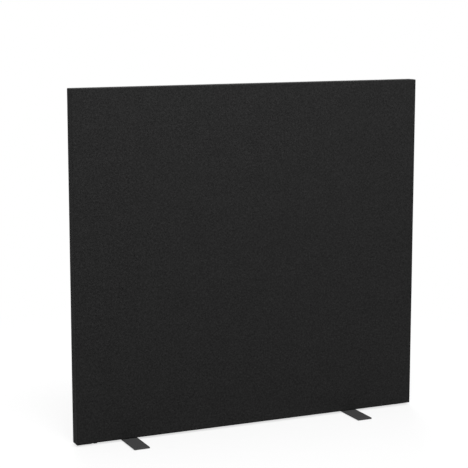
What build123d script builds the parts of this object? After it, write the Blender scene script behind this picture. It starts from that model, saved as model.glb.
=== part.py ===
"""Free-standing acoustic divider screen: an upholstered panel on two flat steel feet.

Millimetres. X runs along the panel, Y from front to back, Z up.
The origin is on the floor, under the middle of the panel.
"""

import os

from build123d import *

# The panel, over its cloth. Its height is from the feet's top face to the top edge.
panel_width = 1400.0
panel_height = 1293.0
panel_thick = 50.0
panel_edge_radius = 3.0

# The cloth cover: two halves that meet in a seam round the middle of the edges
cover_thick = 1.2
cover_return_width = 20.0  # how far each half turns in under the panel
closed_length = 78.0  # how far in from each end the cover closes the underside
fold_thick = 1.6  # the spare cloth folded over the closed part at the left end
fold_hem_length = 12.0
fold_hem_thick = 0.3

# The strip that closes the underside
liner_width = 42.0
liner_thick = 0.6
liner_end_gap = 6.0

# The fleece between the cloth and the frame
wadding_thick = 2.3

# The timber frame
top_rail_height = 28.0
bottom_rail_height = 43.0
end_stile_width = 28.0
mid_stile_width = 28.0
groove_depth = 7.0
groove_side_clearance = 0.2
groove_end_clearance = 0.5

# The hard boards that split the absorber mid-depth
barrier_thick = 3.2

# The feet, flat bars laid across under the panel, and where they stand along it
foot_width = 60.0
foot_length = 300.0
foot_thick = 5.0
foot_corner_radius = 2.0
foot_edge_chamfer = 0.5
left_foot_from_end = 205.0
right_foot_from_end = 275.0

# The pads under the feet
pad_width = 48.0
pad_length = 56.0
pad_thick = 2.0
pad_corner_radius = 6.0
pad_from_foot_end = 8.0

# The countersunk bolts that hold each foot, two in a line along the panel
bolt_spacing = 32.0
bolt_radius = 3.0
bolt_length = 20.0
bolt_head_radius = 6.0
bolt_head_land = 0.3
bolt_clearance = 0.2
bolt_socket_radius = 2.3
bolt_socket_depth = 1.9

# The threaded inserts that the bolts screw into
insert_radius = 5.0
insert_length = 15.0
insert_flange_radius = 6.5
insert_flange_thick = 1.0
insert_clearance = 0.05
insert_end_room = 2.0

# The wood screws through the rails into the ends of the stiles
screw_radius = 2.25
screw_head_radius = 4.6
screw_tip_length = 6.0
screw_grip_in_stile = 55.0
screw_from_middle = 12.0
screw_clearance = 0.1
screw_slot_length = 5.6
screw_slot_width = 1.2
screw_slot_depth = 1.5

# The staples, each a flat-crowned loop of wire
staple_crown = 10.0
staple_leg = 8.0
staple_wire_thick = 0.5
staple_wire_width = 0.9
staple_clearance = 0.05
cover_staple_from_middle = 12.0
cover_staple_pitch = 80.0
liner_staple_from_middle = 17.0
liner_staple_pitch = 88.0
fold_staple_from_middle = 12.0
fold_staple_from_hem = 6.0

# How far a cutting tool runs past the face that it opens
cut_overrun = 5.0

# Heights, from the floor up
foot_underside = pad_thick
foot_top = foot_underside + foot_thick
cover_underside = foot_top + liner_thick
rail_underside = cover_underside + cover_thick
panel_top = foot_top + panel_height
frame_top = panel_top - cover_thick
bay_bottom = rail_underside + bottom_rail_height
bay_top = frame_top - top_rail_height

# Depths, from the middle plane out to the front or back
panel_face = panel_thick / 2
wadding_face = panel_face - cover_thick
frame_face = wadding_face - wadding_thick
barrier_face = barrier_thick / 2

# Widths, from the middle out to the ends
panel_end = panel_width / 2
frame_end = panel_end - cover_thick
bay_outer = frame_end - end_stile_width
bay_inner = mid_stile_width / 2
stile_middle = frame_end - end_stile_width / 2
closed_from = panel_end - closed_length
liner_end = closed_from - liner_end_gap
left_foot_x = left_foot_from_end - panel_end
right_foot_x = panel_end - right_foot_from_end


def block(x_low, x_high, y_low, y_high, z_low, z_high):
    """A box between two corners."""
    middle = Pos((x_low + x_high) / 2, (y_low + y_high) / 2, (z_low + z_high) / 2)
    return middle * Box(x_high - x_low, y_high - y_low, z_high - z_low)


def cylinder_up(radius, height):
    """An upright cylinder that stands on the origin."""
    return Cylinder(radius, height, align=(Align.CENTER, Align.CENTER, Align.MIN))


def cone_up(low_radius, high_radius, height):
    """An upright cone that stands on the origin."""
    return Cone(low_radius, high_radius, height, align=(Align.CENTER, Align.CENTER, Align.MIN))


def rounded_panel(inset):
    """The panel's rounded block, made smaller all round by an inset."""
    bottom = cover_underside + inset
    whole = block(
        inset - panel_end, panel_end - inset,
        inset - panel_face, panel_face - inset,
        bottom, panel_top - inset,
    )
    return fillet(whole.edges(), panel_edge_radius - inset)


def shifted(shape, places):
    """Copies of a shape at a list of (x, y, z) places."""
    return [Pos(*place) * shape for place in places]


def bolt_places(foot_x, z):
    """Where a foot's bolts stand, at a height."""
    return [(foot_x + side * bolt_spacing / 2, 0, z) for side in (-1, 1)]


def row_places(half_run, pitch, y, z):
    """A row of evenly spaced places along the panel, with none in the middle."""
    half_count = int((half_run - staple_crown / 2) / pitch + 1 / 2)
    steps = [count + 1 / 2 for count in range(-half_count, half_count)]
    return [(step * pitch, y, z) for step in steps]


def bolt(grow):
    """A countersunk bolt standing on its head, or with some growth the room for one."""
    head_cone = bolt_head_radius - bolt_radius
    shank = cylinder_up(bolt_radius + grow, bolt_length + grow)
    land = cylinder_up(bolt_head_radius + grow, bolt_head_land)
    cone = cone_up(bolt_head_radius + grow, bolt_radius + grow, head_cone)
    return shank + land + Pos(0, 0, bolt_head_land) * cone


def foot_bolt():
    """The bolt with the socket for its key."""
    socket = extrude(RegularPolygon(bolt_socket_radius, 6), bolt_socket_depth)
    return bolt(0) - socket


def foot_bolts(foot_x):
    """A foot's two bolts, heads flush with its underside."""
    return shifted(foot_bolt(), bolt_places(foot_x, foot_underside))


def bolt_room(foot_x):
    """The room that a foot's two bolts need in the pieces they pass through."""
    return shifted(bolt(bolt_clearance), bolt_places(foot_x, foot_underside))


def threaded_insert():
    """A flanged insert, flange down, with its threaded bore right through."""
    body = cylinder_up(insert_radius, insert_length)
    flange = cylinder_up(insert_flange_radius, insert_flange_thick)
    bore = cylinder_up(bolt_radius + insert_clearance, insert_length)
    return body + flange - bore


def foot_inserts(foot_x):
    """A foot's two inserts, flush in the bottom rail."""
    return shifted(threaded_insert(), bolt_places(foot_x, rail_underside))


def insert_room(foot_x):
    """The stepped holes for a foot's two inserts."""
    hole = cylinder_up(insert_radius + insert_clearance, insert_length + insert_end_room)
    step = cylinder_up(insert_flange_radius + insert_clearance, insert_flange_thick)
    return shifted(hole + step, bolt_places(foot_x, rail_underside))


def wood_screw(shank_length, grow):
    """A countersunk wood screw pointing up from its head, or the hole for one."""
    head_cone = screw_head_radius - screw_radius
    cone = cone_up(screw_head_radius + grow, screw_radius + grow, head_cone)
    shank = cylinder_up(screw_radius + grow, shank_length - screw_tip_length)
    tip = cone_up(screw_radius + grow, grow, screw_tip_length)
    return cone + shank + Pos(0, 0, shank_length - screw_tip_length) * tip


def slotted(screw):
    """A wood screw with the cross recess cut in its head."""
    depth = 2 * screw_slot_depth
    slot = Box(screw_slot_length, screw_slot_width, depth)
    return screw - slot - Rot(0, 0, 90) * slot


def screw_places(z):
    """Two screws for each stile, clear of the groove between them."""
    stiles = (-stile_middle, 0, stile_middle)
    return [(x, side * screw_from_middle, z) for x in stiles for side in (-1, 1)]


def bottom_screws(grow):
    """The screws up through the bottom rail, or their holes."""
    screw = wood_screw(bottom_rail_height + screw_grip_in_stile, grow)
    return shifted(screw if grow else slotted(screw), screw_places(rail_underside))


def top_screws(grow):
    """The screws down through the top rail, or their holes."""
    screw = wood_screw(top_rail_height + screw_grip_in_stile, grow)
    turned = Rot(180, 0, 0) * (screw if grow else slotted(screw))
    return shifted(turned, screw_places(frame_top))


def staple(grow):
    """A staple with its crown's underside on the origin, or the room for one."""
    half_crown = staple_crown / 2 + grow
    inner = half_crown - staple_wire_thick - 2 * grow
    crown_top = staple_wire_thick + grow
    leg_top = staple_leg + grow
    outline = Polyline(
        (-half_crown, 0), (half_crown, 0), (half_crown, leg_top), (inner, leg_top),
        (inner, crown_top), (-inner, crown_top), (-inner, leg_top), (-half_crown, leg_top),
        close=True,
    )
    profile = Plane.XZ * make_face(outline)
    return extrude(profile, staple_wire_width / 2 + grow, both=True)


def cover_staples(grow):
    """Both rows of staples through the cover's turned-in edges."""
    rows = []
    for side in (-1, 1):
        y = side * cover_staple_from_middle
        rows += row_places(closed_from, cover_staple_pitch, y, cover_underside)
    return shifted(staple(grow), rows)


def liner_staples(grow):
    """Both rows of staples along the liner's edges."""
    rows = []
    for side in (-1, 1):
        y = side * liner_staple_from_middle
        rows += row_places(liner_end, liner_staple_pitch, y, foot_top)
    return shifted(staple(grow), rows)


def fold_staples(grow):
    """The two staples near each end that hold the cover's closed ends."""
    x = closed_from + fold_hem_length + fold_staple_from_hem
    ends = ((-x, cover_underside - fold_thick), (x, cover_underside))
    places = [(end, side * fold_staple_from_middle, z) for end, z in ends for side in (-1, 1)]
    return shifted(staple(grow), places)


def staple_room():
    """The room that all the staples need in the cloth and the bottom rail."""
    room = cover_staples(staple_clearance) + liner_staples(staple_clearance)
    return room + fold_staples(staple_clearance)


def all_bolt_room():
    """The room for both feet's bolts."""
    return bolt_room(left_foot_x) + bolt_room(right_foot_x)


def left_fold():
    """The left end's spare cloth, folded in under the panel and ending in a thicker hem."""
    outer = panel_edge_radius - panel_end
    depth = panel_face - panel_edge_radius
    layer_bottom = cover_underside - fold_thick
    hem_bottom = layer_bottom - fold_hem_thick
    hem_outer = -closed_from - fold_hem_length
    layer = block(outer, -closed_from, -depth, depth, layer_bottom, cover_underside)
    hem = block(hem_outer, -closed_from, -depth, depth, hem_bottom, layer_bottom)
    return [layer, hem]


def cover():
    """The whole cover: a rounded shell, open along the middle of its underside."""
    half_opening = panel_face - panel_edge_radius - cover_return_width
    opening = block(
        -closed_from, closed_from, -half_opening, half_opening,
        cover_underside - cut_overrun, rail_underside + cut_overrun,
    )
    shell = rounded_panel(0) - rounded_panel(cover_thick) - opening
    return shell + left_fold() - staple_room() - all_bolt_room()


def cover_half(whole, side):
    """The front or the rear half of the cover."""
    reach = side * panel_thick
    near, far = sorted((0, reach))
    half = block(-panel_width, panel_width, near, far, 0, panel_top + cut_overrun)
    return whole & half


def wadding(inner_panel, side):
    """The fleece over one face of the frame."""
    near, far = sorted((side * frame_face, side * wadding_face))
    sheet = block(-frame_end, frame_end, near, far, rail_underside, frame_top)
    return sheet & inner_panel


def groove_width():
    """The width of the grooves that hold the barrier boards."""
    return barrier_thick + 2 * groove_side_clearance


def bay_sides(side):
    """The left and right limits of the bay on one side of the mid stile."""
    return sorted((side * bay_inner, side * bay_outer))


def rail_grooves(edge, into):
    """The two stopped grooves in a rail, from its inner edge into the timber."""
    half = groove_width() / 2
    low, high = sorted((edge, edge + into * groove_depth))
    grooves = []
    for side in (-1, 1):
        left, right = bay_sides(side)
        grooves.append(block(left - groove_depth, right + groove_depth, -half, half, low, high))
    return grooves


def stile_groove(edge, into):
    """A groove down the whole of a stile, from its inner edge into the timber."""
    half = groove_width() / 2
    near, far = sorted((edge, edge + into * groove_depth))
    return block(near, far, -half, half, bay_bottom, bay_top)


def top_rail(inner_panel):
    """The rail along the top, over the ends of the stiles."""
    timber = block(-frame_end, frame_end, -frame_face, frame_face, bay_top, frame_top)
    return (timber & inner_panel) - rail_grooves(bay_top, 1) - top_screws(screw_clearance)


def bottom_rail(inner_panel):
    """The deeper rail along the bottom, which carries the feet."""
    timber = block(-frame_end, frame_end, -frame_face, frame_face, rail_underside, bay_bottom)
    rail = (timber & inner_panel) - rail_grooves(bay_bottom, -1)
    rail = rail - bottom_screws(screw_clearance) - staple_room()
    return rail - insert_room(left_foot_x) - insert_room(right_foot_x)


def end_stile(side):
    """The upright at one end of the frame."""
    near, far = sorted((side * bay_outer, side * frame_end))
    timber = block(near, far, -frame_face, frame_face, bay_bottom, bay_top)
    timber = timber - stile_groove(side * bay_outer, side)
    return timber - top_screws(screw_clearance) - bottom_screws(screw_clearance)


def mid_stile():
    """The upright in the middle of the frame, grooved on both sides."""
    timber = block(-bay_inner, bay_inner, -frame_face, frame_face, bay_bottom, bay_top)
    timber = timber - stile_groove(-bay_inner, 1) - stile_groove(bay_inner, -1)
    return timber - top_screws(screw_clearance) - bottom_screws(screw_clearance)


def barrier_board(side):
    """The hard board of one bay, held in the grooves all round."""
    left, right = bay_sides(side)
    reach = groove_depth - groove_end_clearance
    return block(
        left - reach, right + reach, -barrier_face, barrier_face,
        bay_bottom - reach, bay_top + reach,
    )


def core(bay_side, face_side):
    """An absorber slab that fills one bay on one side of its barrier board."""
    left, right = bay_sides(bay_side)
    near, far = sorted((face_side * barrier_face, face_side * frame_face))
    return block(left, right, near, far, bay_bottom, bay_top)


def bottom_liner():
    """The strip that closes the underside between the cover's closed ends."""
    half = liner_width / 2
    strip = block(-liner_end, liner_end, -half, half, foot_top, cover_underside)
    return strip - liner_staples(staple_clearance) - all_bolt_room()


def foot(foot_x):
    """A flat steel bar across the panel, countersunk from below for its bolts."""
    half_width, half_length = foot_width / 2, foot_length / 2
    bar = block(
        foot_x - half_width, foot_x + half_width, -half_length, half_length,
        foot_underside, foot_top,
    )
    bar = fillet(bar.edges().filter_by(Axis.Z), foot_corner_radius)
    rims = bar.faces().sort_by(Axis.Z)
    bar = chamfer(rims[-1].edges() + rims[0].edges(), foot_edge_chamfer)
    return bar - bolt_room(foot_x)


def pad(foot_x, side):
    """A thin pad near one end of a foot."""
    y = side * (foot_length / 2 - pad_from_foot_end - pad_length / 2)
    outline = RectangleRounded(pad_width, pad_length, pad_corner_radius)
    return Pos(foot_x, y, 0) * extrude(outline, pad_thick)


def write(name, solids):
    """Writes one node's solids to its own file."""
    whole = Compound(children=solids) if isinstance(solids, list) else solids
    export_step(whole, os.path.join("parts", name + ".step"))


def main():
    """Makes every piece and writes it."""
    os.makedirs("parts", exist_ok=True)
    inner_panel = rounded_panel(cover_thick)
    whole_cover = cover()
    left, right, front, rear = -1, 1, -1, 1

    write("front_cover", cover_half(whole_cover, front))
    write("rear_cover", cover_half(whole_cover, rear))
    write("front_wadding", wadding(inner_panel, front))
    write("rear_wadding", wadding(inner_panel, rear))

    write("top_rail", top_rail(inner_panel))
    write("bottom_rail", bottom_rail(inner_panel))
    write("left_stile", end_stile(left))
    write("right_stile", end_stile(right))
    write("mid_stile", mid_stile())
    write("top_rail_screws", top_screws(0))
    write("bottom_rail_screws", bottom_screws(0))

    write("left_barrier_board", barrier_board(left))
    write("right_barrier_board", barrier_board(right))
    write("front_left_core", core(left, front))
    write("front_right_core", core(right, front))
    write("rear_left_core", core(left, rear))
    write("rear_right_core", core(right, rear))

    write("cover_staples", cover_staples(0))
    write("bottom_liner", bottom_liner())
    write("liner_staples", liner_staples(0))
    write("fold_staples", fold_staples(0))

    for name, foot_x in (("left", left_foot_x), ("right", right_foot_x)):
        write(name + "_foot", foot(foot_x))
        write(name + "_foot_bolts", foot_bolts(foot_x))
        write(name + "_foot_inserts", foot_inserts(foot_x))
        write(name + "_front_pad", pad(foot_x, front))
        write(name + "_rear_pad", pad(foot_x, rear))


main()
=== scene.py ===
"""Looks for the acoustic divider screen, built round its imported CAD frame.

Metres. X runs along the panel, Y from front to back, Z up, with the origin on the floor.
The soft pieces are modelled here. Every other node keeps its CAD mesh and gets a better material.
"""

import math

import bpy
import numpy as np
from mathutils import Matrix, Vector, noise


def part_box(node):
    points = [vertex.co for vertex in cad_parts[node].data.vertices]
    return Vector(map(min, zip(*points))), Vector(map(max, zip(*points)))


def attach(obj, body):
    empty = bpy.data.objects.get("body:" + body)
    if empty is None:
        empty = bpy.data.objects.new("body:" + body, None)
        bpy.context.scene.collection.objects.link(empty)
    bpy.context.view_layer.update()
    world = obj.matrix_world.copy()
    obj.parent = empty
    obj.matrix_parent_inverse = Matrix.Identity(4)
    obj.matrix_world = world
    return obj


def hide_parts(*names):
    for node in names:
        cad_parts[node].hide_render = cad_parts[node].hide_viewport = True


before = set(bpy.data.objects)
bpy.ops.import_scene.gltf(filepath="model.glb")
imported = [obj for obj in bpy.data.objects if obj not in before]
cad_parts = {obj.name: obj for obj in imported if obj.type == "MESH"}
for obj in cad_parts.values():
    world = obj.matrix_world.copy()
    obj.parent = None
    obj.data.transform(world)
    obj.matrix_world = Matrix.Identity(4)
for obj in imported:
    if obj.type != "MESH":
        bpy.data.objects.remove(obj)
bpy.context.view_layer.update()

# The panel, read from the frame
cover_low, cover_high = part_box("front_cover")
liner_low, liner_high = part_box("bottom_liner")
rail_low, rail_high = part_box("bottom_rail")
staple_low, staple_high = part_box("fold_staples")
panel_end = cover_high.x
panel_face = -cover_low.y
panel_top = cover_high.z
panel_underside = liner_high.z
panel_low = (-panel_end, -panel_face, panel_underside)
panel_high = (panel_end, panel_face, panel_top)
panel_middle = (0, 0, panel_top / 2)
edge_radius = 0.003
on_face = 0.00001  # nearer to a face than this counts as on it

# The cloth cover: what it is cut from, and how it meets and closes
cloth_thick = 0.0010
closed_from = liner_high.x + 0.006  # from here out, the cover closes the underside
open_to = liner_high.x - 0.005  # the opening between the halves ends under the liner
opening_half = 0.002  # between the two turned-in edges
notch_radius = 0.004  # in those edges, round each foot bolt
seam_roll = 0.0011  # the radius at which each half rolls into the seam
mitre_reach = 0.0014
mitre_depth = 0.0005

# The spare cloth folded in under the left end
fold_drop = 0.0024
hem_drop = 0.0002
hem_length = 0.012
fold_half_width = panel_face - edge_radius
fold_shoulder = 0.0009
fold_fades_from = panel_underside + 0.0024  # up the end, where the fold's thickness dies out
fold_fades_to = panel_underside + 0.0244
staple_dip_length = 0.010
staple_dip_depth = 0.0013

# Relief of the stretched cloth
swell_height = 0.00028
swell_size = 0.26
ripple_height = 0.00007
ripple_size = 0.045
pucker_height = 0.00022
pucker_size = 0.030
pucker_reach = 0.012
scallop_height = 0.00022
scallop_reach = 0.022
cover_staple_pitch = 0.080
cover_seeds = {-1: 11, 1: 31}  # for the front, on the side of -Y, and the rear
noise_stride = (7.3, 3.1, 5.7)  # how far each seed moves the noise

# The cover's grid: how far apart its lines are, and where that changes
round_step = 0.0006  # over the round edges
open_step = 0.0095  # over the open cloth
end_band = 0.010  # beside each end
end_band_step = 0.0024
fold_band_low = closed_from - 0.002  # from the middle, round the steps of the fold and its hem
fold_band_high = closed_from + hem_length + 0.016
fold_band_step = 0.001
left_step = 0.008  # between the fold's band and the left end's
right_step = 0.006  # over the closed part of the underside at the right end
low_band = 0.0224  # above the underside
top_band = 0.020  # below the top
band_step = 0.004  # in those two bands
seam_step = 0.00027  # across the edges, in the seam
beside_step = 0.002  # from the seam to the fold's shoulders
shoulder_step = 0.0003  # over the fold's shoulders

# The seam's stitches
stitch_pitch = 0.0036
stitch_length = 0.0026
stitch_radius = 0.00026
stitch_depth = 0.00050
stitch_sides = 6
# Each ring's place along a stitch and its fatness, as shares of the length and the radius
stitch_rings = ((-0.5, 0.35), (-0.28, 1.0), (0.28, 1.0), (0.5, 0.35))

# The strip that closes the underside
liner_thick = 0.0004
liner_staple_y = 0.017
liner_staple_pitch = 0.088
liner_hole_radius = 0.0068  # round each foot bolt
liner_step_along = 0.0035
liner_step_across = 0.0015
liner_slack = 0.00008
liner_slack_size = 0.040
liner_seed = 3
staple_half_crown = 0.005
dent_half_width = 0.0022
dent_depth = 0.00030

# The fleeces
fleece_inner = rail_high.y + 0.00005
fleece_outer = panel_face - 0.0015
fleece_thick = fleece_outer - fleece_inner - 0.0003
fleece_rim = 0.0025  # inside the cover's ends and top
fleece_step = 0.020
fleece_uneven = 0.00015
fleece_uneven_size = 0.06
fleece_seeds = {-1: 40, 1: 42}

# The absorber slabs
core_gap = 0.0003
core_radius = 0.004
core_step = 0.030
core_edge_step = 0.0012
core_uneven = 0.0002
core_uneven_size = 0.05
core_seed = 61

# The stage: a floor that is pale to the camera, and even light all round
floor_size = 40.0
floor_tone = 0.45  # for the light that it throws back on the object
floor_seen_tone = 0.90
floor_white_share = 0.70  # how much of it is plain white where the shadow is full
shadow_full_to = 0.9  # from the middle of the floor
shadow_gone_at = 2.2
fill_strength = 0.42

# The lamps: each one's place, aim, width and power in watts
lamps = {
    "key": ((-1.0, -1.6, 3.4), panel_middle, 1.8, 86),
    "side": ((1.9, -2.0, 3.2), (0, 0, 0.9), 2.0, 53),
    "rear": ((0.8, 2.6, 3.4), panel_middle, 2.4, 100),
}

# The photograph's view, from a fit of the panel's corners and feet
photo_pixels = 468
camera_focal_pixels = 1495.8
camera_place = (-2.3469, -5.0367, 1.6282)
camera_yaw = math.radians(24.390)
camera_pitch = math.radians(9.127)
sensor_width = 36.0


def ramp(values, start, end):
    """A smooth rise from 0 at start to 1 at end."""
    share = np.clip((values - start) / (end - start), 0, 1)
    return share * share * (3 - 2 * share)


def bump(values, middle, half):
    """A smooth hump of height 1 at middle."""
    return np.exp(-((values - middle) / half) ** 2)


def noise_at(points, size, seed):
    """Smooth noise from about -1 to 1, with features of one size."""
    shift = Vector([seed * stride for stride in noise_stride])
    return np.array([noise.noise(Vector(point) / size + shift) for point in points])


def lines(start, *stretches):
    """Grid lines over joined stretches, each given as its end and about how far apart its lines are."""
    places = [start]
    for end, step in stretches:
        count = max(1, round(abs(end - places[-1]) / step))
        places += list(np.linspace(places[-1], end, count + 1)[1:])
    return np.array(places)


def box_surface(xs, ys, zs, sides):
    """The grid points and outward quads on the named sides of a box with these grid lines."""
    index, points, quads = {}, [], []
    last = {"x": len(xs) - 1, "y": len(ys) - 1, "z": len(zs) - 1}

    def corner(i, j, k):
        if (i, j, k) not in index:
            index[i, j, k] = len(points)
            points.append((xs[i], ys[j], zs[k]))
        return index[i, j, k]

    def patch(first, second, fixed, place, flip):
        for a in range(last[first]):
            for b in range(last[second]):
                ring = [(a, b), (a + 1, b), (a + 1, b + 1), (a, b + 1)]
                spots = [{first: p, second: q, fixed: place} for p, q in ring]
                quad = [corner(s["x"], s["y"], s["z"]) for s in spots]
                quads.append(quad[::-1] if flip else quad)

    if "front" in sides:
        patch("x", "z", "y", 0, False)
    if "rear" in sides:
        patch("x", "z", "y", last["y"], True)
    if "left" in sides:
        patch("y", "z", "x", 0, True)
    if "right" in sides:
        patch("y", "z", "x", last["x"], False)
    if "top" in sides:
        patch("x", "y", "z", last["z"], False)
    if "bottom" in sides:
        patch("x", "y", "z", 0, True)
    return np.array(points), quads


def kept(points, quads, left_out):
    """The quads that aren't left out, with only the points that they use."""
    used, quads = np.unique(np.array(quads)[~left_out], return_inverse=True)
    return points[used], quads.reshape(-1, 4).tolist()


def rounded(points, low, high, radius):
    """Points of a plain box moved onto the same box with round edges, and the outward directions there."""
    core = np.clip(points, np.array(low) + radius, np.array(high) - radius)
    out = points - core
    out /= np.linalg.norm(out, axis=1)[:, None]
    return core + radius * out, out


def new_piece(name, points, faces, material):
    """A smooth mesh object that rides with the screen."""
    mesh = bpy.data.meshes.new(name)
    mesh.from_pydata([tuple(p) for p in points], [], faces)
    mesh.polygons.foreach_set("use_smooth", [True] * len(mesh.polygons))
    mesh.materials.append(material)
    piece = bpy.data.objects.new(name, mesh)
    bpy.context.scene.collection.objects.link(piece)
    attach(piece, "root")
    return piece


def thicken(piece, thickness):
    """Gives a sheet its thickness, inward from its outer face."""
    modifier = piece.modifiers.new("thickness", "SOLIDIFY")
    modifier.thickness = thickness
    modifier.offset = -1


def bolt_xs():
    """Where the foot bolts stand along the panel."""
    places = []
    for name in ("left_foot_bolts", "right_foot_bolts"):
        low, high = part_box(name)
        head_radius = high.y
        places += [low.x + head_radius, high.x - head_radius]
    return np.array(places)


def beside_bolts(middles, reach):
    """Which places on the underside lie within reach of a foot bolt."""
    across = middles[:, 0, None] - bolt_xs()
    return (np.hypot(across, middles[:, 1, None]) < reach).any(axis=1)


def seam_valley(y):
    """How deep the cloth has rolled into the seam round the middle of the edges."""
    inside = np.clip(1 - np.abs(y) / seam_roll, 0, 1)
    return seam_roll * (1 - np.sqrt(1 - inside**2))


def mitre_crease(points):
    """How deep the short seam across each top corner draws the cloth in."""
    from_corner = np.maximum(panel_end - np.abs(points[:, 0]), panel_top - points[:, 2])
    return mitre_depth * np.clip(1 - from_corner / mitre_reach, 0, 1)


def cover_relief(points, seed):
    """How far the stretched cloth stands out from the plain panel."""
    x, y, z = points.T
    swell = swell_height * noise_at(points, swell_size, seed)
    ripple = ripple_height * noise_at(points, ripple_size, seed + 1)
    pucker = pucker_height * noise_at(points * (1, 0, 1), pucker_size, seed + 2)
    pulled_in = np.cos(2 * math.pi * (x / cover_staple_pitch - 0.5))
    scallop = scallop_height * pulled_in * bump(z, panel_underside, scallop_reach)
    return swell + ripple + pucker * bump(y, 0, pucker_reach) - scallop


def fold_lowers(points):
    """How far the layer folded in under the left end lowers the cloth."""
    x, y, z = points.T
    from_middle = -x
    hem_end = closed_from + hem_length
    staple_x = -staple_low.x - staple_half_crown
    layer = ramp(from_middle, closed_from, closed_from + fold_shoulder)
    hem = layer - ramp(from_middle, hem_end, hem_end + fold_shoulder)
    dip = bump(from_middle, staple_x, staple_dip_length / 2)
    across = 1 - ramp(np.abs(y), fold_half_width - fold_shoulder, fold_half_width)
    up_the_end = 1 - ramp(z, fold_fades_from, fold_fades_to)
    lowered = fold_drop * layer + hem_drop * hem - staple_dip_depth * dip
    return lowered * across * up_the_end


def right_staple_dents(points):
    """How far the staples under the right end press the cloth in."""
    x, y, z = points.T
    along = bump(x, staple_high.x - staple_half_crown, staple_half_crown)
    across = bump(np.abs(y), staple_high.y, dent_half_width)
    return dent_depth * (along * across) * (z < panel_top / 2)


def cover_lines(side):
    """The grid lines of one half of the cover along X, Y and Z, close where its shape turns."""
    xs = lines(
        -panel_end,
        (-panel_end + edge_radius, round_step),
        (-panel_end + end_band, end_band_step),
        (-fold_band_high, left_step),
        (-fold_band_low, fold_band_step),
        (fold_band_low, open_step),
        (panel_end - end_band, right_step),
        (panel_end - edge_radius, end_band_step),
        (panel_end, round_step),
    )
    from_seam = lines(
        0,
        (opening_half, seam_step),
        (fold_half_width - fold_shoulder, beside_step),
        (fold_half_width, shoulder_step),
        (panel_face, round_step),
    )
    zs = lines(
        panel_underside,
        (panel_underside + edge_radius, round_step),
        (panel_underside + low_band, band_step),
        (panel_top - top_band, open_step),
        (panel_top - edge_radius, band_step),
        (panel_top, round_step),
    )
    return xs, np.sort(side * from_seam), zs


def cut_places(points, side):
    """Where each point lies on the cut cloth, with the third coordinate apart for each half."""
    x, y, z = points.T
    wrapped = panel_face - np.abs(y)
    on_end = np.abs(x) > panel_end - on_face
    on_top = z > panel_top - on_face
    on_underside = z < panel_underside + on_face
    across = x + np.sign(x) * wrapped * on_end
    along = z + wrapped * on_top - wrapped * on_underside
    return np.stack([across, along, np.full(len(x), side)], axis=1)


def cover_half(name, side, material):
    """One half of the cloth cover: a face, half of each edge, and its turned-in underside."""
    face = "front" if side < 0 else "rear"
    points, quads = box_surface(*cover_lines(side), (face, "left", "right", "top", "bottom"))
    middles = points[np.array(quads)].mean(axis=1)
    below = middles[:, 2] < panel_underside + on_face
    opening = (np.abs(middles[:, 0]) < open_to) & (np.abs(middles[:, 1]) < opening_half)
    points, quads = kept(points, quads, below & (opening | beside_bolts(middles, notch_radius)))

    placed, out = rounded(points, panel_low, panel_high, edge_radius)
    relief = cover_relief(points, cover_seeds[side]) - seam_valley(points[:, 1]) - mitre_crease(points)
    relief -= right_staple_dents(points)
    placed += out * relief[:, None]
    placed[:, 2] -= fold_lowers(points)

    piece = new_piece(name, placed, quads, material)
    attribute = piece.data.attributes.new("cloth", "FLOAT_VECTOR", "POINT")
    attribute.data.foreach_set("vector", cut_places(points, side).ravel())
    thicken(piece, cloth_thick)
    return piece


def seam_places():
    """Places a stitch apart along the seam, and the outward direction at each."""
    turns = [
        (-closed_from, panel_underside), (-panel_end, panel_underside), (-panel_end, panel_top),
        (panel_end, panel_top), (panel_end, panel_underside), (closed_from, panel_underside),
    ]
    places = []
    for start, end in zip(turns, turns[1:]):
        count = round(math.dist(start, end) / stitch_pitch)
        for share in np.arange(count) / count:
            x, z = (a + share * (b - a) for a, b in zip(start, end))
            places.append((x, 0, z))
    places = np.array(places)
    placed, out = rounded(places, panel_low, panel_high, edge_radius)
    placed[:, 2] -= fold_lowers(places)
    depth = stitch_depth + mitre_crease(places)
    return placed - depth[:, None] * out, out


def stitch_points(middle, out):
    """The rings of points of one stitch, along the seam."""
    across = np.array((0.0, 1.0, 0.0))
    along = np.cross(across, out)
    points = []
    for share, fatness in stitch_rings:
        centre = middle + share * stitch_length * along
        for turn in range(stitch_sides):
            angle = 2 * math.pi * turn / stitch_sides
            outward = math.cos(angle) * across + math.sin(angle) * out
            points.append(centre + fatness * stitch_radius * outward)
    return points


def seam_stitches(material):
    """The thread that shows in the seam, one short fat loop for each stitch."""
    points, faces = [], []
    for middle, out in zip(*seam_places()):
        first = len(points)
        points += stitch_points(middle, out)
        last = len(points) - stitch_sides
        for ring in range(first, last, stitch_sides):
            for turn in range(stitch_sides):
                a = ring + turn
                b = ring + (turn + 1) % stitch_sides
                faces.append((a, b, b + stitch_sides, a + stitch_sides))
        faces.append([first + turn for turn in reversed(range(stitch_sides))])
        faces.append([last + turn for turn in range(stitch_sides)])
    return new_piece("seam_stitches", points, faces, material)


def liner_dents(x, y):
    """How far the liner's staples press it in."""
    from_staple = (np.abs(x) / liner_staple_pitch % 1 - 0.5) * liner_staple_pitch
    along = bump(from_staple, 0, staple_half_crown)
    across = bump(np.abs(y), liner_staple_y, dent_half_width)
    return dent_depth * along * across


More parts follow.
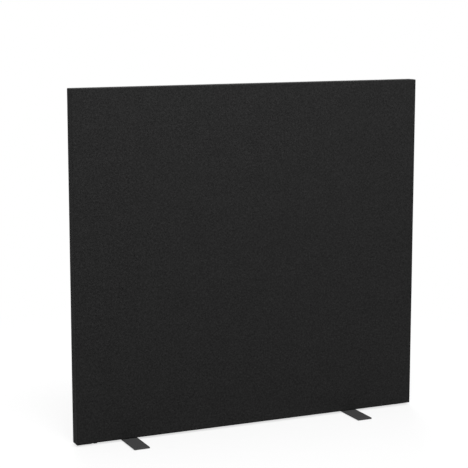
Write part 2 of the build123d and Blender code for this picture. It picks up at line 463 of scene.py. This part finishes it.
def underside_liner(material):
    """The strip that closes the underside, held by two rows of staples."""
    xs = lines(liner_low.x, (liner_high.x, liner_step_along))
    ys = lines(liner_low.y, (liner_high.y, liner_step_across))
    points, quads = box_surface(xs, ys, [liner_low.z, liner_high.z], ("bottom",))
    middles = points[np.array(quads)].mean(axis=1)
    points, quads = kept(points, quads, beside_bolts(middles, liner_hole_radius))
    x, y, _ = points.T
    slack = liner_slack * (1 + noise_at(points, liner_slack_size, liner_seed))
    points[:, 2] += liner_dents(x, y) + slack
    piece = new_piece("underside_liner", points, quads, material)
    thicken(piece, liner_thick)
    return piece


def fleece_sheet(name, side, material):
    """The fleece between one face of the frame and the cloth."""
    xs = lines(-panel_end + fleece_rim, (panel_end - fleece_rim, fleece_step))
    zs = lines(rail_low.z + fleece_rim / 2, (panel_top - fleece_rim, fleece_step))
    ys = sorted((side * fleece_inner, side * fleece_outer))
    face = "front" if side < 0 else "rear"
    points, quads = box_surface(xs, ys, zs, (face,))
    sunk = fleece_uneven * (1 + noise_at(points, fleece_uneven_size, fleece_seeds[side]))
    points[:, 1] -= side * sunk
    piece = new_piece(name, points, quads, material)
    thicken(piece, fleece_thick)
    return piece


def absorber_slab(name, node_name, material):
    """A pressed-fibre slab in its bay, with soft edges and an uneven surface."""
    low, high = (np.array(corner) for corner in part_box(node_name))
    low, high = low + core_gap, high - core_gap
    grid = []
    for start, end in zip(low, high):
        edge = min(core_radius, (end - start) / 4)
        stretches = (start + edge, core_edge_step), (end - edge, core_step), (end, core_edge_step)
        grid.append(lines(start, *stretches))
    points, quads = box_surface(*grid, ("front", "rear", "left", "right", "top", "bottom"))
    placed, out = rounded(points, low, high, core_radius)
    sunk = core_uneven * (1 + noise_at(points, core_uneven_size, core_seed))
    return new_piece(name, placed - out * sunk[:, None], quads, material)


def node(tree, kind, inputs=None, **settings):
    """A shader node with its settings, and its inputs as plain values or links."""
    made = tree.nodes.new("ShaderNode" + kind)
    for name, value in settings.items():
        setattr(made, name, value)
    for name, value in (inputs or {}).items():
        if isinstance(value, bpy.types.NodeSocket):
            tree.links.new(value, made.inputs[name])
        else:
            made.inputs[name].default_value = value
    return made


def maths(tree, operation, first, second=0.0):
    """One sum on two values or sockets."""
    return node(tree, "Math", {0: first, 1: second}, operation=operation).outputs[0]


def vector_maths(tree, operation, first, second=(0.0, 0.0, 0.0)):
    """One sum on two vectors or sockets."""
    return node(tree, "VectorMath", {0: first, 1: second}, operation=operation).outputs[0]


def object_place(tree):
    """A point's place in the row frame."""
    return node(tree, "TexCoord").outputs["Object"]


def noise_value(tree, place, size, detail=3.0, rough=0.55):
    """A noise value from 0 to 1 with features of about one size."""
    inputs = {"Vector": place, "Scale": 1 / size, "Detail": detail, "Roughness": rough}
    return node(tree, "TexNoise", inputs).outputs[0]


def grey(value):
    """A neutral colour."""
    return (value, value, value)


def between(tree, factor, dark, pale, start=0.3, end=0.7):
    """A colour that goes from dark to pale while a value goes from start to end."""
    made = node(tree, "ValToRGB", {0: factor})
    stops = ((start, dark), (end, pale))
    for element, (place, colour) in zip(made.color_ramp.elements, stops):
        element.position = place
        element.color = (*colour, 1)
    return made.outputs[0]


def mixed(tree, factor, first, second, how="MIX"):
    """Two colours mixed by a factor, through the node's colour sockets, which share names with others."""
    made = node(tree, "Mix", data_type="RGBA", blend_type=how)
    for index, value in ((0, factor), (6, first), (7, second)):
        if isinstance(value, bpy.types.NodeSocket):
            tree.links.new(value, made.inputs[index])
        else:
            made.inputs[index].default_value = value
    return made.outputs[2]


def shaded(tree, colour, shade):
    """A colour times a shade."""
    return mixed(tree, 1.0, colour, shade, "MULTIPLY")


def new_material(name, roughness, specular, metallic=0.0):
    """A material with its shader's plain values set."""
    material = bpy.data.materials.new(name)
    material.use_nodes = True
    tree = material.node_tree
    shader = tree.nodes["Principled BSDF"]
    shader.inputs["Roughness"].default_value = roughness
    shader.inputs["Specular IOR Level"].default_value = specular
    shader.inputs["Metallic"].default_value = metallic
    return material, tree, shader


def dress(tree, shader, colour, height, depth, strength=1.0):
    """Links a colour and a relief of some depth to a shader."""
    tree.links.new(colour, shader.inputs["Base Color"])
    relief = node(tree, "Bump", {"Height": height, "Distance": depth, "Strength": strength})
    tree.links.new(relief.outputs[0], shader.inputs["Normal"])


def crepe_weave(tree, place, pitch, streak):
    """Warp and weft that cross at random: their relief, and a shade streaked along each thread."""
    wander_size = 6 * pitch
    wander_reach = 0.9  # in threads
    thread_stride = 1.7  # from one thread to the next in the noise that shades them
    wander = node(tree, "TexNoise", {"Vector": place, "Scale": 1 / wander_size, "Detail": 2.0})
    off = vector_maths(tree, "SUBTRACT", wander.outputs["Color"], (0.5, 0.5, 0.5))
    off = vector_maths(tree, "MULTIPLY", off, (wander_reach, wander_reach, 0.0))
    counted = vector_maths(tree, "MULTIPLY", place, (1 / pitch, 1 / pitch, 1.0))
    moved = vector_maths(tree, "ADD", counted, off)
    cell = vector_maths(tree, "FLOOR", moved)
    across, along, side = node(tree, "SeparateXYZ", {0: moved}).outputs
    end, pick, _ = node(tree, "SeparateXYZ", {0: cell}).outputs
    chance = node(tree, "TexWhiteNoise", {"Vector": cell}).outputs["Value"]
    weft_on_top = maths(tree, "GREATER_THAN", chance, 0.5)

    def chosen(warp, weft):
        step = maths(tree, "SUBTRACT", weft, warp)
        return maths(tree, "ADD", warp, maths(tree, "MULTIPLY", weft_on_top, step))

    def ridge(turns):
        return maths(tree, "ABSOLUTE", maths(tree, "SINE", maths(tree, "MULTIPLY", turns, math.pi)))

    def thread_shade(own, run, flip):
        spots = (own, maths(tree, "MULTIPLY", run, pitch / streak))
        inputs = {0: spots[flip], 1: spots[1 - flip], 2: side}
        spot = node(tree, "CombineXYZ", inputs).outputs[0]
        return noise_value(tree, spot, size=1.0, detail=2.0)

    own_end, own_pick = (maths(tree, "MULTIPLY", number, thread_stride) for number in (end, pick))
    relief = chosen(ridge(across), ridge(along))
    shade = chosen(thread_shade(own_end, along, 0), thread_shade(own_pick, across, 1))
    return relief, shade


def stray_fibres(tree, place, colour, width, length, fibre_colour):
    """A colour with a few paler fibres drawn over it, some across the cloth and some along it."""
    for across, along, layer in ((width, length, 1.0), (length, width, 2.0)):
        drawn = vector_maths(tree, "MULTIPLY", place, (1 / across, 1 / along, layer))
        fibre = noise_value(tree, drawn, size=1.0, detail=1.0)
        share = between(tree, fibre, grey(0.0), grey(1.0), start=0.72, end=0.80)
        colour = mixed(tree, share, colour, (*fibre_colour, 1))
    return colour


def cover_cloth():
    """The near-black woollen crepe: streaky threads, a fine mottle, a few paler fibres, and painted shade
    in the hollows between the threads.
    """
    material, tree, shader = new_material("cover_cloth", roughness=0.95, specular=0.08)
    shader.inputs["Sheen Weight"].default_value = 0.012
    shader.inputs["Sheen Roughness"].default_value = 0.4
    place = node(tree, "Attribute", attribute_name="cloth").outputs["Vector"]
    weave, streaks = crepe_weave(tree, place, pitch=0.0018, streak=0.009)
    mottle = noise_value(tree, place, size=0.0065, rough=0.6)
    clouds = noise_value(tree, place, size=0.09)
    fuzz = noise_value(tree, place, size=0.0011, detail=2.0)

    colour = between(tree, mottle, dark=grey(0.0115), pale=grey(0.0240))
    colour = shaded(tree, colour, between(tree, streaks, dark=grey(0.62), pale=grey(1.38)))
    colour = stray_fibres(tree, place, colour, width=0.0009, length=0.0055, fibre_colour=grey(0.046))
    # Painted shade: the cloth's colour darkens where the weave's relief is low, in the hollows between the
    # threads.
    painted_weave_shade = between(tree, weave, dark=grey(0.66), pale=grey(1.08), start=0.0)
    colour = shaded(tree, colour, painted_weave_shade)
    colour = shaded(tree, colour, between(tree, clouds, dark=grey(0.96), pale=grey(1.04)))

    weave_share, mottle_share, fuzz_share = 0.5, 1.2, 0.25
    threads = maths(tree, "MULTIPLY", weave, weave_share)
    height = maths(tree, "ADD", threads, maths(tree, "MULTIPLY", mottle, mottle_share))
    height = maths(tree, "ADD", height, maths(tree, "MULTIPLY", fuzz, fuzz_share))
    dress(tree, shader, colour, height, depth=0.0005, strength=0.8)
    return material


def seam_thread():
    """The cover's sewing thread: twisted, near-black, a little shinier than the cloth."""
    material, tree, shader = new_material("seam_thread", roughness=0.6, specular=0.25)
    strand = noise_value(tree, object_place(tree), size=0.0005, detail=2.0)
    colour = between(tree, strand, dark=grey(0.012), pale=grey(0.030))
    dress(tree, shader, colour, strand, depth=0.0001)
    return material


def liner_cloth():
    """Thin black non-woven: short fibres pressed flat, with bonding dots."""
    material, tree, shader = new_material("liner_cloth", roughness=0.85, specular=0.2)
    dot_pitch = 0.0016
    place = object_place(tree)
    fibres = noise_value(tree, place, size=0.0018, detail=4.0, rough=0.7)
    cells = node(tree, "TexVoronoi", {"Vector": place, "Scale": 1 / dot_pitch}).outputs["Distance"]
    dots = between(tree, cells, grey(0.0), grey(1.0), start=0.10, end=0.30)
    dot_shade = between(tree, cells, dark=grey(0.7), pale=grey(1.1), start=0.1, end=0.4)
    colour = shaded(tree, between(tree, fibres, dark=grey(0.008), pale=grey(0.020)), dot_shade)
    dress(tree, shader, colour, maths(tree, "ADD", dots, fibres), depth=0.0002)
    return material


def fleece():
    """White needled fleece."""
    material, tree, shader = new_material("fleece", roughness=0.95, specular=0.1)
    fibres = noise_value(tree, object_place(tree), size=0.006, detail=5.0, rough=0.7)
    colour = between(tree, fibres, dark=(0.62, 0.62, 0.60), pale=(0.78, 0.78, 0.76))
    dress(tree, shader, colour, fibres, depth=0.001)
    return material


def absorber():
    """Grey pressed fibre with darker and paler threads."""
    material, tree, shader = new_material("absorber", roughness=0.95, specular=0.1)
    fibres = noise_value(tree, object_place(tree), size=0.004, detail=5.0, rough=0.75)
    colour = between(tree, fibres, dark=(0.19, 0.20, 0.21), pale=(0.36, 0.37, 0.38))
    dress(tree, shader, colour, fibres, depth=0.0008)
    return material


def softwood(along):
    """Planed softwood with its grain along one axis."""
    name = "softwood_along_" + along
    material, tree, shader = new_material(name, roughness=0.6, specular=0.3)
    grain_squeeze = 0.06
    squeeze = [grain_squeeze if axis == along else 1.0 for axis in "xyz"]
    place = vector_maths(tree, "MULTIPLY", object_place(tree), squeeze)
    grain = noise_value(tree, place, size=0.012, detail=6.0, rough=0.6)
    streaks = noise_value(tree, place, size=0.0022, detail=2.0)
    colour = between(tree, grain, dark=(0.44, 0.29, 0.15), pale=(0.64, 0.47, 0.29), start=0.35, end=0.65)
    thin_lines = between(tree, streaks, dark=grey(0.82), pale=grey(1.0), start=0.35, end=0.6)
    dress(tree, shader, shaded(tree, colour, thin_lines), streaks, depth=0.0002)
    return material


def hardboard():
    """Brown pressed board, faintly speckled."""
    material, tree, shader = new_material("hardboard", roughness=0.45, specular=0.35)
    specks = noise_value(tree, object_place(tree), size=0.0025, detail=5.0, rough=0.7)
    colour = between(tree, specks, dark=(0.17, 0.095, 0.048), pale=(0.27, 0.165, 0.09))
    dress(tree, shader, colour, specks, depth=0.00015)
    return material


def powder_coat():
    """Dark grey powder coat with a fine grain and a faint unevenness."""
    material, tree, shader = new_material("powder_coat", roughness=0.6, specular=0.12)
    place = object_place(tree)
    grain = noise_value(tree, place, size=0.0009, rough=0.6)
    clouds = noise_value(tree, place, size=0.035)
    colour = between(tree, clouds, dark=grey(0.0475), pale=grey(0.0525))
    colour = shaded(tree, colour, between(tree, grain, dark=grey(0.9), pale=grey(1.1)))
    rough = between(tree, clouds, grey(0.56), grey(0.66))
    tree.links.new(rough, shader.inputs["Roughness"])
    dress(tree, shader, colour, grain, depth=0.00012)
    return material


def black_oxide():
    """Blackened steel, smooth and slightly oily."""
    material, tree, shader = new_material("black_oxide", roughness=0.35, specular=0.5)
    stains = noise_value(tree, object_place(tree), size=0.004, detail=4.0)
    colour = between(tree, stains, dark=(0.024, 0.024, 0.026), pale=(0.045, 0.043, 0.042))
    dress(tree, shader, colour, stains, depth=0.00005)
    return material


def zinc_plate():
    """Zinc plate, pale and faintly blotched."""
    material, tree, shader = new_material("zinc_plate", roughness=0.35, specular=0.5, metallic=1.0)
    blotches = noise_value(tree, object_place(tree), size=0.0025)
    colour = between(tree, blotches, dark=(0.52, 0.52, 0.51), pale=(0.68, 0.68, 0.66))
    rough = between(tree, blotches, grey(0.28), grey(0.42))
    tree.links.new(rough, shader.inputs["Roughness"])
    dress(tree, shader, colour, blotches, depth=0.00003)
    return material


def pad_rubber():
    """Matt black rubber with a fine moulded grain and a little dust."""
    material, tree, shader = new_material("pad_rubber", roughness=0.85, specular=0.25)
    place = object_place(tree)
    grain = noise_value(tree, place, size=0.0008, detail=2.0)
    dust = noise_value(tree, place, size=0.012)
    colour = between(tree, dust, dark=grey(0.017), pale=grey(0.032), start=0.35, end=0.75)
    dress(tree, shader, colour, grain, depth=0.0001)
    return material


def refinish(material, *names):
    """Gives CAD nodes a better material."""
    for name in names:
        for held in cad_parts[name].material_slots:
            held.material = material


def white_to_camera(tree):
    """1 where a ray comes from the camera, a reflection or glass, and 0 for light itself."""
    path = node(tree, "LightPath").outputs
    seen = maths(tree, "MAXIMUM", path["Is Camera Ray"], path["Is Glossy Ray"])
    return maths(tree, "MAXIMUM", seen, path["Is Transmission Ray"])


def mixed_shaders(tree, share, first, second):
    """A node that mixes the shaders of two nodes by a share."""
    return node(tree, "MixShader", {0: share, 1: first.outputs[0], 2: second.outputs[0]})


def make_floor():
    """A plain pale floor that keeps a soft shadow and is otherwise white."""
    bpy.ops.mesh.primitive_plane_add(size=floor_size)
    floor = bpy.context.object
    floor.name = "floor"
    material = bpy.data.materials.new("floor")
    material.use_nodes = True
    tree = material.node_tree
    tree.nodes.clear()
    plain = node(tree, "BsdfDiffuse", {"Color": (*grey(floor_tone), 1)})
    seen = node(tree, "BsdfDiffuse", {"Color": (*grey(floor_seen_tone), 1)})
    white = node(tree, "Emission", {"Color": (*grey(1.0), 1), "Strength": 1.0})
    away = node(tree, "VectorMath", {0: object_place(tree)}, operation="LENGTH").outputs["Value"]
    fade = {
        "Value": away,
        "From Min": shadow_full_to,
        "From Max": shadow_gone_at,
        "To Min": floor_white_share,
    }
    share = node(tree, "MapRange", fade, interpolation_type="SMOOTHSTEP").outputs[0]
    shown = mixed_shaders(tree, share, seen, white)
    blend = mixed_shaders(tree, white_to_camera(tree), plain, shown)
    end = node(tree, "OutputMaterial")
    tree.links.new(blend.outputs[0], end.inputs[0])
    floor.data.materials.append(material)


def make_world():
    """Even studio light, seen as white."""
    world = bpy.data.worlds.new("studio")
    bpy.context.scene.world = world
    world.use_nodes = True
    tree = world.node_tree
    tree.nodes.clear()
    fill = node(tree, "Background", {"Color": (*grey(1.0), 1), "Strength": fill_strength})
    white = node(tree, "Background", {"Color": (*grey(1.0), 1), "Strength": 1.0})
    blend = mixed_shaders(tree, white_to_camera(tree), fill, white)
    end = node(tree, "OutputWorld")
    tree.links.new(blend.outputs[0], end.inputs[0])


def make_lamp(name, place, aim, size, power):
    """A square soft lamp pointed at a place."""
    data = bpy.data.lights.new(name, "AREA")
    data.size = size
    data.energy = power
    lamp = bpy.data.objects.new(name, data)
    bpy.context.scene.collection.objects.link(lamp)
    lamp.location = place
    lamp.rotation_euler = (Vector(aim) - Vector(place)).to_track_quat("-Z", "Y").to_euler()


def make_camera():
    """The camera at the photograph's angle."""
    data = bpy.data.cameras.new("photo_camera")
    data.sensor_width = sensor_width
    data.lens = camera_focal_pixels * sensor_width / photo_pixels
    camera = bpy.data.objects.new("photo_camera", data)
    bpy.context.scene.collection.objects.link(camera)
    camera.location = camera_place
    camera.rotation_euler = (math.pi / 2 - camera_pitch, 0, -camera_yaw)
    bpy.context.scene.camera = camera


cloth = cover_cloth()
front_cover = cover_half("front_cover_cloth", -1, cloth)
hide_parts("front_cover")
rear_cover = cover_half("rear_cover_cloth", 1, cloth)
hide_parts("rear_cover")
seam_stitches(seam_thread())

liner = underside_liner(liner_cloth())
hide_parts("bottom_liner")

fleece_cloth = fleece()
for name, node_name, side in (("front_fleece", "front_wadding", -1), ("rear_fleece", "rear_wadding", 1)):
    sheet = fleece_sheet(name, side, fleece_cloth)
    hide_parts(node_name)

fibre = absorber()
for node_name in ("front_left_core", "front_right_core", "rear_left_core", "rear_right_core"):
    slab = absorber_slab(node_name.replace("core", "slab"), node_name, fibre)
    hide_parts(node_name)

refinish(softwood("x"), "top_rail", "bottom_rail")
refinish(softwood("z"), "left_stile", "right_stile", "mid_stile")
refinish(hardboard(), "left_barrier_board", "right_barrier_board")
refinish(powder_coat(), "left_foot", "right_foot")
refinish(black_oxide(), "left_foot_bolts", "right_foot_bolts")
refinish(
    zinc_plate(), "top_rail_screws", "bottom_rail_screws", "left_foot_inserts", "right_foot_inserts",
    "cover_staples", "liner_staples", "fold_staples",
)
refinish(pad_rubber(), "left_front_pad", "left_rear_pad", "right_front_pad", "right_rear_pad")

make_floor()
make_world()
for name, (place, aim, size, power) in lamps.items():
    make_lamp(name, place, aim, size, power)
make_camera()
bpy.context.scene.view_settings.view_transform = "Standard"
